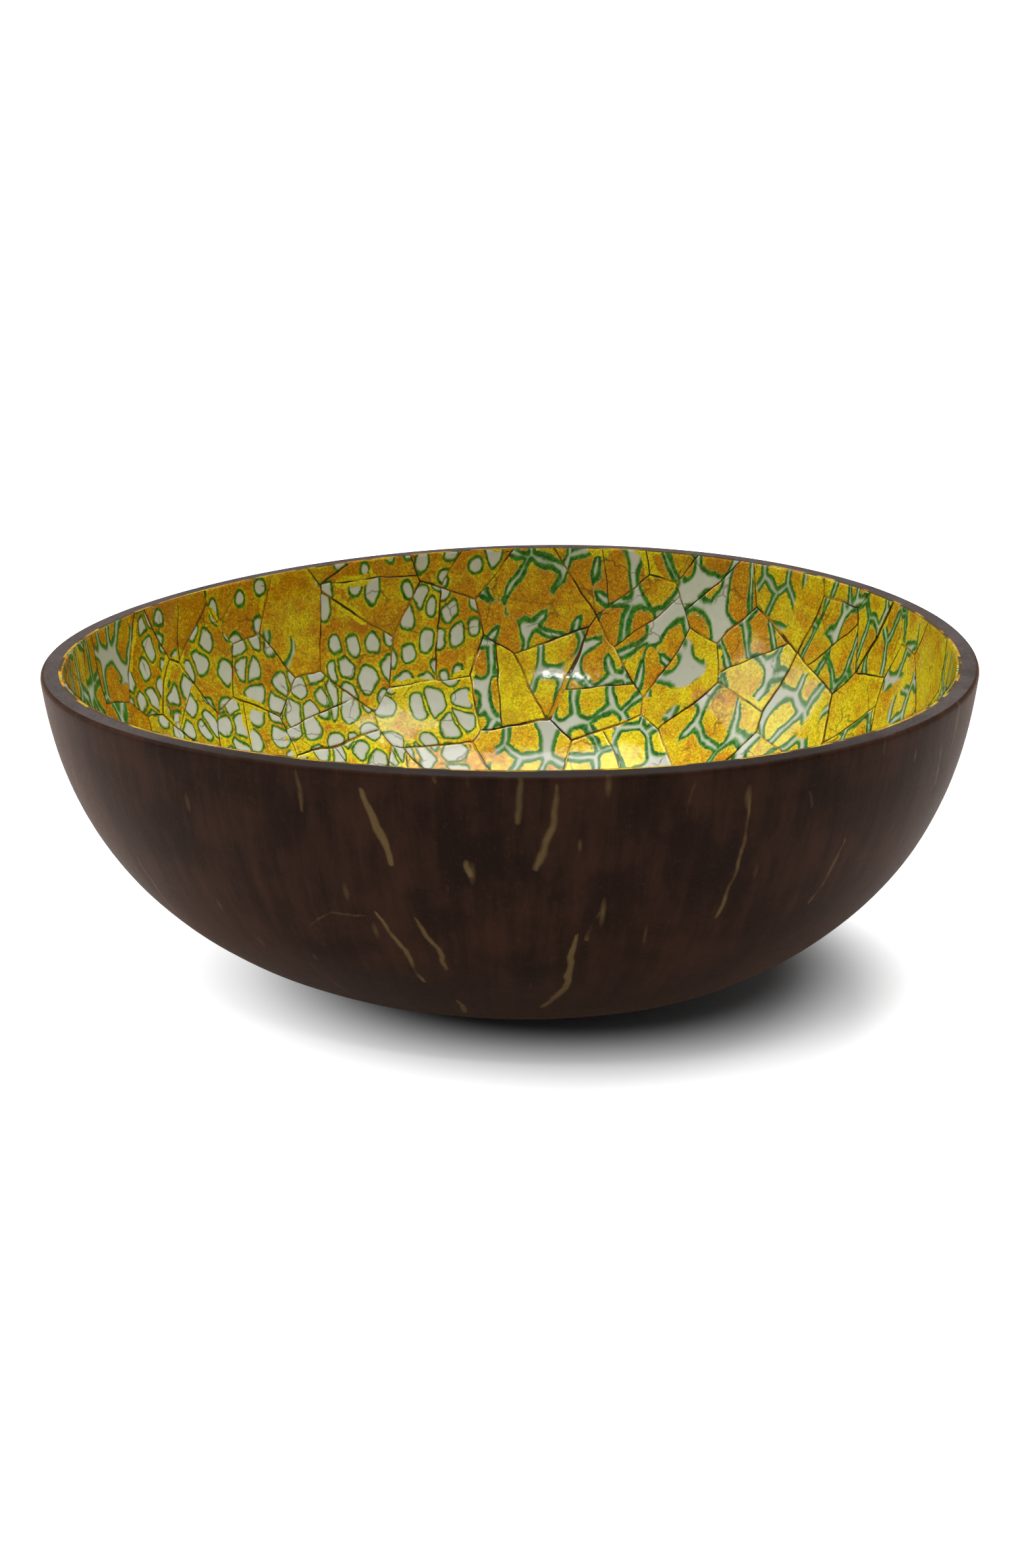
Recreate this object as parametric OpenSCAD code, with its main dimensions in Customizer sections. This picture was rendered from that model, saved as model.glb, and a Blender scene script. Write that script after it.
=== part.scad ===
// Half a coconut shell, sanded and polished outside, lined with a mosaic of cracked lacquer shards.
// The origin is the centre of the sanded foot, on the table, and +Z is up through the mouth.

/* [Shell] */
// Outside diameter of the rim
rim_d = 135; // [120:1:150]
// Height from the table to the rim
bowl_h = 49; // [42:0.5:56]
// Thickness of the shell at the rim
rim_wall = 2.6; // [2:0.1:4]
// Thickness of the shell under the middle of the bowl, from the sanded foot up
floor_wall = 3.2; // [2.4:0.1:5]
// Depth sanded off the round end, which leaves the flat foot
foot_cut = 1.4; // [0.8:0.1:2.4]
// Radius worn on the outer corner of the rim
rim_round = 0.7; // [0.3:0.1:1]
// How far above the rim the whole nut was at its widest
widest_rise = 17.8; // [8:0.2:26]
// How square the section is across its width, where 2 is an ellipse
width_power = 2.2; // [1.9:0.1:2.5]
// How square the section is down its depth, where 2 is an ellipse
depth_power = 2.9; // [2.3:0.1:3.3]

/* [Lining] */
// Thickness of the gold lacquer bed on the shell
bed_t = 0.4; // [0.2:0.05:0.6]
// Thickness of the lacquer shards laid on the bed
shard_t = 0.25; // [0.2:0.05:0.6]
// Thickness of the clear lacquer over the shards
coat_t = 0.2; // [0.1:0.05:0.4]

/* [Mosaic] */
// Number of shards and pools laid over the lining, before some shards crack in two
shard_count = 140; // [80:1:180]
// Width of the joint between two neighbouring shards
joint_w = 0.3; // [0.2:0.05:0.6]
// Width of a hairline crack through a shard
crack_w = 0.2; // [0.1:0.05:0.4]
// Which of the possible scatters of shards is laid
scatter_seed = 11; // [1:1:40]

/* [Hidden] */

// Colours
shell_brown = "#3d2b27";
bed_gold = "#a87a14";
pool_gold = "#d9b22c";
spot_white = "#c9c9bd";
cell_gold = "#b98a1a";
coat_clear = [1, 1, 1, 0.2];

// Facets round the axis
$fn = 180;
// Points along a profile from the apex to the rim
profile_steps = 32;
// Points round the worn corner of the rim
corner_steps = 5;

// Size of the whole nut's lower half, of which the bowl is the cut part
rim_r = rim_d / 2;
apex_z = -foot_cut;
widest_z = bowl_h + widest_rise;
fall = widest_z - apex_z;
rim_depth_share = widest_rise / fall;
reach = rim_r / pow(1 - pow(rim_depth_share, depth_power), 1 / width_power);

// Profiles run this far past the rim before they are cut level with it
rim_over = 2;
over_depth_share = (widest_rise - rim_over) / fall;

// Layer boundaries, as depths above the inside of the shell
bed_top = bed_t;
shard_top = bed_top + shard_t;
coat_top = shard_top + coat_t;
shard_middle = bed_top + shard_t / 2;

// Section of the nut: the angle runs from 0 at its widest level to 90 at the apex
function angle_at(depth_share) = asin(pow(depth_share, depth_power / 2));
function nut_point(angle) = [
    reach * pow(cos(angle), 2 / width_power),
    widest_z - fall * pow(sin(angle), 2 / depth_power)
];
function nut_normal(p) =
    let (slope = [
        width_power / reach * pow(p.x / reach, width_power - 1),
        -depth_power / fall * pow((widest_z - p.y) / fall, depth_power - 1)
    ])
    slope / norm(slope);
function nut_curve(top_angle) = [
    for (i = [0 : profile_steps]) nut_point(90 - (90 - top_angle) * i / profile_steps)
];

// The shell thickens from its rim down to its apex
function wall_at(z) =
    let (down_share = (bowl_h - z) / (bowl_h - apex_z))
    rim_wall + (floor_wall + foot_cut - rim_wall) * down_share * abs(down_share);
function inside_point(p, rise) = p - (wall_at(p.y) + rise) * nut_normal(p);
function inside_curve(rise) = [
    for (p = nut_curve(angle_at(over_depth_share))) inside_point(p, rise)
];

// Worn corner between the outside of the shell and the flat of the rim
rim_normal = nut_normal([rim_r, bowl_h]);
rim_lean = -asin(rim_normal.y);
corner_z = bowl_h - rim_round;
corner_x = rim_r - rim_round * tan(rim_lean) - rim_round / cos(rim_lean);
corner_points = [
    for (i = [0 : corner_steps])
        let (turn = -rim_lean + (90 + rim_lean) * i / corner_steps)
        [corner_x + rim_round * cos(turn), corner_z + rim_round * sin(turn)]
];
outside_curve = [
    for (p = nut_curve(angle_at(rim_depth_share))) if (p.y < corner_points[0].y) p
];

function backwards(points) = [for (i = [len(points) - 1 : -1 : 0]) points[i]];

// Everything from the table up to the level of the rim
module table_to_rim() {
    square([rim_r, bowl_h]);
}

module layer_profile(low, high) {
    intersection() {
        polygon(concat(inside_curve(low), backwards(inside_curve(high))));
        table_to_rim();
    }
}

module layer(low, high) {
    rotate_extrude()
        layer_profile(low, high);
}

// Middle surface of the shards, as tables of radius, height and lean against the way run from the apex
middle_curve = inside_curve(shard_middle);
middle_normals = [for (p = nut_curve(angle_at(over_depth_share))) nut_normal(p)];
way_run = [
    for (i = 0, run = 0;
        i <= profile_steps;
        run = run + (i < profile_steps ? norm(middle_curve[i + 1] - middle_curve[i]) : 0), i = i + 1)
        run
];
radius_table = [for (i = [0 : profile_steps]) [way_run[i], middle_curve[i].x]];
height_table = [for (i = [0 : profile_steps]) [way_run[i], middle_curve[i].y]];
lean_table = [for (i = [0 : profile_steps]) [way_run[i], atan2(middle_normals[i].x, -middle_normals[i].y)]];
map_r = way_run[profile_steps];

// The lining is laid out flat on a round map: the distance from its centre is the way run up the bowl
function on_lining(spot) =
    let (run = norm(spot), turn = atan2(spot.y, spot.x), r = lookup(run, radius_table))
    [r * cos(turn), r * sin(turn), lookup(run, height_table)];

// Shares of the scatter: how far a shard's centre strays, how many crack in two, how many are gold pools instead
golden_turn_share = 0.381966;
stray_share = 0.42;
cracked_share = 0.5;
pool_share = 0.15;
crackable_area_share = 0.7;
near_shares = 3.2;
edge_share = 0.05;
outline_steps = 48;

// Typical width of a shard before it cracks
shard_w = map_r * sqrt(PI / shard_count);
strays = rands(-1, 1, 2 * shard_count, scatter_seed);
chances = rands(0, 1, shard_count, scatter_seed + 1);
crack_turns = rands(0, 180, shard_count, scatter_seed + 2);

function shard_centre(i) =
    let (run = map_r * sqrt((i + 0.5) / shard_count), turn = 360 * golden_turn_share * i)
    [run * cos(turn), run * sin(turn)] + stray_share * shard_w * [strays[2 * i], strays[2 * i + 1]];
centres = [for (i = [0 : shard_count - 1]) shard_centre(i)];

map_outline = [
    for (i = [0 : outline_steps - 1])
        let (turn = 360 * i / outline_steps)
        map_r * [cos(turn), sin(turn)]
];

// Keeps the part of an outline behind a line through point, whose front faces along facing
function crossing(a, b, da, db) = a + (b - a) * da / (da - db);
function clip(outline, point, facing) = [
    for (i = [0 : 1 : len(outline) - 1])
        let (
            a = outline[i],
            b = outline[(i + 1) % len(outline)],
            da = (a - point) * facing,
            db = (b - point) * facing
        )
        each concat(
            (da <= 0) != (db <= 0) ? [crossing(a, b, da, db)] : [],
            db <= 0 ? [b] : []
        )
];

// A shard is the ground nearer to its centre than to any other centre, less half a joint all round
function carve(outline, centre, others, k = 0) =
    k == len(others) ? outline :
    let (away = others[k] - centre, facing = away / norm(away))
    carve(clip(outline, (centre + others[k]) / 2 - facing * joint_w / 2, facing), centre, others, k + 1);
function neighbours(i) = [
    for (j = [0 : shard_count - 1])
        if (j != i && norm(centres[j] - centres[i]) < near_shares * shard_w) centres[j]
];
function without_slivers(outline) = [
    for (i = [0 : 1 : len(outline) - 1])
        if (norm(outline[i] - outline[(i + len(outline) - 1) % len(outline)]) > edge_share * shard_w)
            outline[i]
];
function area(outline) = abs(sum_of([
    for (i = [0 : 1 : len(outline) - 1])
        let (a = outline[i], b = outline[(i + 1) % len(outline)]) a.x * b.y - a.y * b.x
])) / 2;
function sum_of(list, k = 0) = k == len(list) - 1 ? list[k] : list[k] + sum_of(list, k + 1);
function middle_of(outline) = sum_of(outline) / len(outline);

// A cracked shard is two solids on either side of its hairline
function crack(outline, turn) =
    let (facing = [cos(turn), sin(turn)], middle = middle_of(outline))
    [
        clip(outline, middle - facing * crack_w / 2, facing),
        clip(outline, middle + facing * crack_w / 2, -facing)
    ];
function cracks(i, outline) =
    chances[i] > 1 - cracked_share && area(outline) > crackable_area_share * shard_w * shard_w;
function pieces(i) =
    let (whole = carve(map_outline, centres[i], neighbours(i)))
    [for (outline = cracks(i, whole) ? crack(whole, crack_turns[i]) : [whole]) without_slivers(outline)];

// Kinds of shard, by where they were laid
white_spot = "white spot";
gold_cell = "gold cell";
gold_pool = "gold pool";
border_share = -0.1;
left_patch_share = 0.72;
left_patch_turn_share = 0.045;
function in_left_patch(centre) =
    norm(centre) > left_patch_share * map_r && abs(atan2(centre.y, -centre.x)) < 360 * left_patch_turn_share;
function kind_of(i) =
    chances[i] < pool_share ? gold_pool :
    centres[i].x < border_share * map_r && !in_left_patch(centres[i]) ? white_spot : gold_cell;

// Courses of the mosaic, each from one share of the way up the bowl to another
floor_course = [0, 0.32];
lower_course = [0.32, 0.52];
middle_course = [0.52, 0.7];
upper_course = [0.7, 0.86];
rim_course = [0.86, 2];
wall_courses = [0.32, 0.86];
front = "front";
back = "back";
all_round = "all round";
function in_course(centre, course) =
    norm(centre) >= course[0] * map_r && norm(centre) < course[1] * map_r;
function on_side(centre, side) = side == all_round || (centre.y >= 0) == (side == back);

// Half the length of the straight cut that frees a shard from the layer, past the bulge of a wide shard
cut_reach = 0.6 * shard_w;

// The cut runs square to the lining at the middle of the shard
module shard_cut(outline) {
    middle = middle_of(outline);
    lean = lookup(norm(middle), lean_table);
    turn = atan2(middle.y, middle.x);
    origin = on_lining(middle);
    along = [cos(lean) * cos(turn), cos(lean) * sin(turn), sin(lean)];
    across = [-sin(turn), cos(turn), 0];
    translate(origin)
        rotate([0, -lean, turn])
            linear_extrude(height = 2 * cut_reach, center = true)
                polygon([for (spot = outline) let (p = on_lining(spot) - origin) [p * along, p * across]]);
}

module laid_pieces(kind, course, side) {
    intersection() {
        layer(bed_top, shard_top);
        union() {
            for (i = [0 : shard_count - 1])
                if (kind_of(i) == kind && in_course(centres[i], course) && on_side(centres[i], side))
                    for (outline = pieces(i))
                        shard_cut(outline);
        }
    }
}

module white_spot_shards(course, side) {
    color(spot_white)
        laid_pieces(white_spot, course, side);
}

module gold_cell_shards(course, side) {
    color(cell_gold)
        laid_pieces(gold_cell, course, side);
}

module gold_pools(course) {
    color(pool_gold)
        laid_pieces(gold_pool, course, all_round);
}

module shell() {
    color(shell_brown)
        rotate_extrude()
            intersection() {
                polygon(concat(outside_curve, corner_points, backwards(inside_curve(0))));
                table_to_rim();
            }
}

module gold_bed() {
    color(bed_gold)
        layer(0, bed_top);
}

module clear_lacquer() {
    color(coat_clear)
        layer(shard_top, coat_top);
}

module white_spot_shards_floor() white_spot_shards(floor_course, all_round);
module white_spot_shards_lower_front() white_spot_shards(lower_course, front);
module white_spot_shards_lower_back() white_spot_shards(lower_course, back);
module white_spot_shards_middle_front() white_spot_shards(middle_course, front);
module white_spot_shards_middle_back() white_spot_shards(middle_course, back);
module white_spot_shards_upper_front() white_spot_shards(upper_course, front);
module white_spot_shards_upper_back() white_spot_shards(upper_course, back);
module white_spot_shards_rim_front() white_spot_shards(rim_course, front);
module white_spot_shards_rim_back() white_spot_shards(rim_course, back);

module gold_cell_shards_floor() gold_cell_shards(floor_course, all_round);
module gold_cell_shards_lower_front() gold_cell_shards(lower_course, front);
module gold_cell_shards_lower_back() gold_cell_shards(lower_course, back);
module gold_cell_shards_middle_front() gold_cell_shards(middle_course, front);
module gold_cell_shards_middle_back() gold_cell_shards(middle_course, back);
module gold_cell_shards_upper_front() gold_cell_shards(upper_course, front);
module gold_cell_shards_upper_back() gold_cell_shards(upper_course, back);
module gold_cell_shards_rim_front() gold_cell_shards(rim_course, front);
module gold_cell_shards_rim_back() gold_cell_shards(rim_course, back);

module gold_pools_floor() gold_pools(floor_course);
module gold_pools_wall() gold_pools(wall_courses);
module gold_pools_rim() gold_pools(rim_course);

shell();
gold_bed();
clear_lacquer();
white_spot_shards_floor();
white_spot_shards_lower_front();
white_spot_shards_lower_back();
white_spot_shards_middle_front();
white_spot_shards_middle_back();
white_spot_shards_upper_front();
white_spot_shards_upper_back();
white_spot_shards_rim_front();
white_spot_shards_rim_back();
gold_cell_shards_floor();
gold_cell_shards_lower_front();
gold_cell_shards_lower_back();
gold_cell_shards_middle_front();
gold_cell_shards_middle_back();
gold_cell_shards_upper_front();
gold_cell_shards_upper_back();
gold_cell_shards_rim_front();
gold_cell_shards_rim_back();
gold_pools_floor();
gold_pools_wall();
gold_pools_rim();
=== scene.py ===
"""Half a coconut shell lined with a mosaic of cracked lacquer shards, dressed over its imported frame.

Sizes are in metres. The origin is the centre of the sanded foot, on the table, and +Z is up through the mouth.
"""

import logging
import math
import random
from collections.abc import Iterator
from contextlib import contextmanager
from dataclasses import dataclass, field
from enum import Enum
from typing import Any

import bpy
import numpy as np
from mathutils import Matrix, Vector, noise


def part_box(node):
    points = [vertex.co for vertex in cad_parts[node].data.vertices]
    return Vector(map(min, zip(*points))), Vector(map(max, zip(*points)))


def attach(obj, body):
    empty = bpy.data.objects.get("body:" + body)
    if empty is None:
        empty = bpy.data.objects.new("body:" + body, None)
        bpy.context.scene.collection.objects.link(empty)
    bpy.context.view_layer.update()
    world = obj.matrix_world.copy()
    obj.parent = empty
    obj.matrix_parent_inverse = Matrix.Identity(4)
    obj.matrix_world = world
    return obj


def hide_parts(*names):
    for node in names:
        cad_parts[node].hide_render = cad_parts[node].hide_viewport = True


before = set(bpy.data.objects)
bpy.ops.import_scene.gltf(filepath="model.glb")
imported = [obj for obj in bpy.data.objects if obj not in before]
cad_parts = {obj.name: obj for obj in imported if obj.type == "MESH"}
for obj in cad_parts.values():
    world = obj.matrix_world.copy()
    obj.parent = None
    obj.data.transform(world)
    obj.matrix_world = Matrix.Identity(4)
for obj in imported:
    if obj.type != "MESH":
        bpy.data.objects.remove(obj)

LOG = logging.getLogger("coconut_bowl")
MM = 0.001
GOLDEN_SHARE = 0.381966
BODY = "root"
MARK = "mark_"
NOISE_SEED = 7

Colour = tuple[float, float, float, float]


def colour(red: int, green: int, blue: int) -> Colour:
    """Turns a screen colour into the linear one that a shader takes.

    Args:
        red: Red, from 0 to 255.
        green: Green, from 0 to 255.
        blue: Blue, from 0 to 255.

    Returns:
        The linear colour, with full alpha.
    """
    shares = [value / 255 for value in (red, green, blue)]
    linear = [s / 12.92 if s <= 0.04045 else ((s + 0.055) / 1.055) ** 2.4 for s in shares]
    return (linear[0], linear[1], linear[2], 1.0)


def around(radius: Any, turn: Any, height: Any) -> np.ndarray:
    """Gives points from their distance to the axis, their turn round it in radians and their height."""
    return np.stack([radius * np.cos(turn), radius * np.sin(turn), height], axis=-1)


class ShardKind(Enum):
    """Kinds of piece laid in the lining, by the start of their node's name."""

    WHITE_SPOT = "white_spot_shards"
    GOLD_CELL = "gold_cell_shards"
    GOLD_POOL = "gold_pools"

    @property
    def slot(self) -> str:
        """Material slot of the record that the kind takes."""
        return self.value[:-1]


# What a shard's mesh says of its sheet, and how the sheet's rings end, both in the words of the group that draws
# the layers.
SHEET_NUMBERS = ("Cell", "Fill", "Least", "Gap", "Ring")
EDGE_NUMBERS = ("Stray", "Flood", "Outer Soft", "Inner Soft", "Outer Fuzz", "Inner Fuzz")
SHEET_EDGES = {
    ShardKind.WHITE_SPOT: (0.5, 0.0, 0.12, 0.22, 0.35, 0.3),
    ShardKind.GOLD_CELL: (1.1, 1.4, 0.22, 0.16, 0.3, 0.7),
    ShardKind.GOLD_POOL: (0.5, 0.0, 0.3, 0.07, 0.3, 0.8),
}


@dataclass(frozen=True)
class NutSection:
    """Section of the half nut and of the layers laid in it, as radius and height."""

    rim_r: float = 67.5 * MM
    bowl_h: float = 49 * MM
    rim_wall: float = 2.6 * MM
    floor_wall: float = 3.2 * MM
    foot_cut: float = 1.4 * MM
    rim_round: float = 0.7 * MM
    widest_rise: float = 17.8 * MM
    width_power: float = 2.2
    depth_power: float = 2.9
    bed_t: float = 0.4 * MM
    shard_t: float = 0.25 * MM
    coat_t: float = 0.2 * MM
    film_gap: float = 0.13 * MM
    rim_over: float = 2 * MM

    @property
    def widest_z(self) -> float:
        """Height at which the whole nut was widest."""
        return self.bowl_h + self.widest_rise

    @property
    def fall(self) -> float:
        """Drop from the widest level to the point of the nut."""
        return self.widest_z + self.foot_cut

    @property
    def reach(self) -> float:
        """Radius of the whole nut at its widest."""
        share = self.widest_rise / self.fall
        return self.rim_r / (1 - share**self.depth_power) ** (1 / self.width_power)

    @property
    def shard_top(self) -> float:
        """Rise of the top of the shards above the inside of the shell."""
        return self.bed_t + self.shard_t

    @property
    def shard_middle(self) -> float:
        """Rise of the middle of the shards above the inside of the shell."""
        return self.bed_t + self.shard_t / 2

    def nut_curve(self, above_rim: float, steps: int) -> np.ndarray:
        """Gives points down the outside of the nut.

        Args:
            above_rim: How far past the rim the curve runs.
            steps: Number of steps from the point of the nut to the end.

        Returns:
            Radius and height of each point, from the axis outwards.
        """
        share = (self.widest_rise - above_rim) / self.fall
        end = math.asin(share ** (self.depth_power / 2))
        angle = np.linspace(math.pi / 2, end, steps + 1)
        across = np.clip(np.cos(angle), 0, 1) ** (2 / self.width_power)
        down = np.sin(angle) ** (2 / self.depth_power)
        return np.stack([self.reach * across, self.widest_z - self.fall * down], axis=1)

    def skin_r(self, height: Any) -> np.ndarray:
        """Gives the radius of the outside at a height."""
        outside = self.nut_curve(0, 400)
        return np.interp(height, outside[:, 1], outside[:, 0])

    def normals(self, points: np.ndarray) -> np.ndarray:
        """Gives the outward normals of the nut at points on its outside."""
        out = self.width_power / self.reach * (points[:, 0] / self.reach) ** (self.width_power - 1)
        depth = (self.widest_z - points[:, 1]) / self.fall
        down = -self.depth_power / self.fall * depth ** (self.depth_power - 1)
        slope = np.stack([out, down], axis=1)
        return slope / np.linalg.norm(slope, axis=1)[:, None]

    def inside_curve(self, rise: float, steps: int = 64) -> np.ndarray:
        """Gives points down a surface inside the shell, past the rim.

        Args:
            rise: Distance of the surface from the inside of the shell.
            steps: Number of steps from the axis to the end.

        Returns:
            Radius and height of each point, from the axis outwards.
        """
        points = self.nut_curve(self.rim_over, steps)
        share = (self.bowl_h - points[:, 1]) / (self.bowl_h + self.foot_cut)
        thick = self.floor_wall + self.foot_cut - self.rim_wall
        wall = self.rim_wall + thick * share * np.abs(share)
        return points - (wall + rise)[:, None] * self.normals(points)

    def cut_level(self, points: np.ndarray) -> np.ndarray:
        """Cuts a curve level with the rim."""
        below = points[points[:, 1] < self.bowl_h - 1e-6]
        radius = np.interp(self.bowl_h, points[:, 1], points[:, 0])
        return np.vstack([below, [radius, self.bowl_h]])

    def shell_profile(self, steps: int = 64) -> np.ndarray:
        """Gives the closed section of the shell, from the middle of the foot round to the axis inside."""
        lean = -math.asin(self.normals(np.array([[self.rim_r, self.bowl_h]]))[0, 1])
        corner_r = self.rim_r - self.rim_round * (math.tan(lean) + 1 / math.cos(lean))
        corner_z = self.bowl_h - self.rim_round
        turns = np.linspace(-lean, math.pi / 2, 6)
        corner = np.stack([np.cos(turns), np.sin(turns)], axis=1) * self.rim_round + [corner_r, corner_z]
        outside = self.nut_curve(0, steps)
        foot_r = np.interp(0, outside[:, 1], outside[:, 0])
        side = outside[(outside[:, 1] > 0.15 * MM) & (outside[:, 1] < corner[0, 1] - 0.2 * MM)]
        inside = self.cut_level(self.inside_curve(0, 28))
        foot = np.array([[0, 0], [foot_r * 0.5, 0], [foot_r - 0.3 * MM, 0], [foot_r + 0.1 * MM, 0.05 * MM]])
        return np.vstack([foot, side, corner, inside[::-1]])

    def layer_profile(self, low: float, high: float) -> np.ndarray:
        """Gives the closed section of a layer of the lining, from the axis below to the axis above."""
        under = self.cut_level(self.inside_curve(low))
        over = self.cut_level(self.inside_curve(high))
        return np.vstack([under, over[::-1]])


@dataclass(frozen=True)
class NaturalForm:
    """How the real shell leaves the round: three soft lobes and a slightly tilted and twisted rim."""

    lobe: float = 0.018
    lobe_turn: float = math.radians(-49.4)
    tilt: float = 0.9 / 49
    twist: float = 0.35 / 49
    sag: float = -0.39 / 49
    half_span: float = 67.5 * MM
    unevenness: float = 0.16 * MM

    def shape(self, points: np.ndarray) -> np.ndarray:
        """Moves points from the round bowl to the natural one.

        Args:
            points: Points of the round bowl, one a row.

        Returns:
            The same points on the natural bowl.
        """
        x, y, z = points.T
        turn = np.arctan2(y, x)
        swell = 1 + self.lobe * np.cos(3 * (turn - self.lobe_turn))
        u, v = x / self.half_span, y / self.half_span
        lift = 1 + self.tilt * u + self.twist * u * v + self.sag * (u * u - v * v)
        return np.stack([x * swell, y * swell, z * lift], axis=1)

    def unevenness_at(self, points: np.ndarray) -> np.ndarray:
        """Gives how far each point of the outside stands off the smooth form."""
        waves = [noise.noise(Vector(p) * 38) + 0.4 * noise.noise(Vector(p) * 110) for p in points]
        return self.unevenness * np.array(waves)


@dataclass
class LiningMap:
    """Round flat map of the lining: the distance from its middle is the way run up the bowl."""

    section: NutSection
    run: np.ndarray = field(init=False)
    curve: np.ndarray = field(init=False)
    normal: np.ndarray = field(init=False)

    def __post_init__(self) -> None:
        """Measures the middle surface of the shards along its section."""
        self.curve = self.section.inside_curve(self.section.shard_middle, 900)
        self.normal = self.section.normals(self.section.nut_curve(self.section.rim_over, 900))
        steps = np.linalg.norm(np.diff(self.curve, axis=0), axis=1)
        self.run = np.concatenate([[0], np.cumsum(steps)])

    @property
    def rim_run(self) -> float:
        """Way run from the middle of the floor to the rim."""
        return float(np.interp(self.section.bowl_h, self.curve[:, 1], self.run))

    def flatten(self, points: np.ndarray) -> np.ndarray:
        """Lays points of the lining on the map.

        Args:
            points: Points in the bowl, one a row.

        Returns:
            Two map coordinates and the distance above the middle surface, one point a row.
        """
        radius = np.hypot(points[:, 0], points[:, 1])
        turn = np.arctan2(points[:, 1], points[:, 0])
        spots = np.stack([radius, points[:, 2]], axis=1)
        near = np.argmin(np.sum((self.curve[None] - spots[:, None]) ** 2, axis=2), axis=1)
        rise = -np.sum((spots - self.curve[near]) * self.normal[near], axis=1)
        return around(self.run[near], turn, rise)

    def bend(self, points: np.ndarray) -> np.ndarray:
        """Bends points of the map onto the bowl; a point's height is its distance above the middle surface."""
        run = np.hypot(points[:, 0], points[:, 1])
        turn = np.arctan2(points[:, 1], points[:, 0])
        table = np.hstack([self.curve, self.normal]).T
        radius, level, out, up = (np.interp(run, self.run, values) for values in table)
        rise = points[:, 2]
        return around(radius - rise * out, turn, np.minimum(level - rise * up, self.section.bowl_h))


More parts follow.
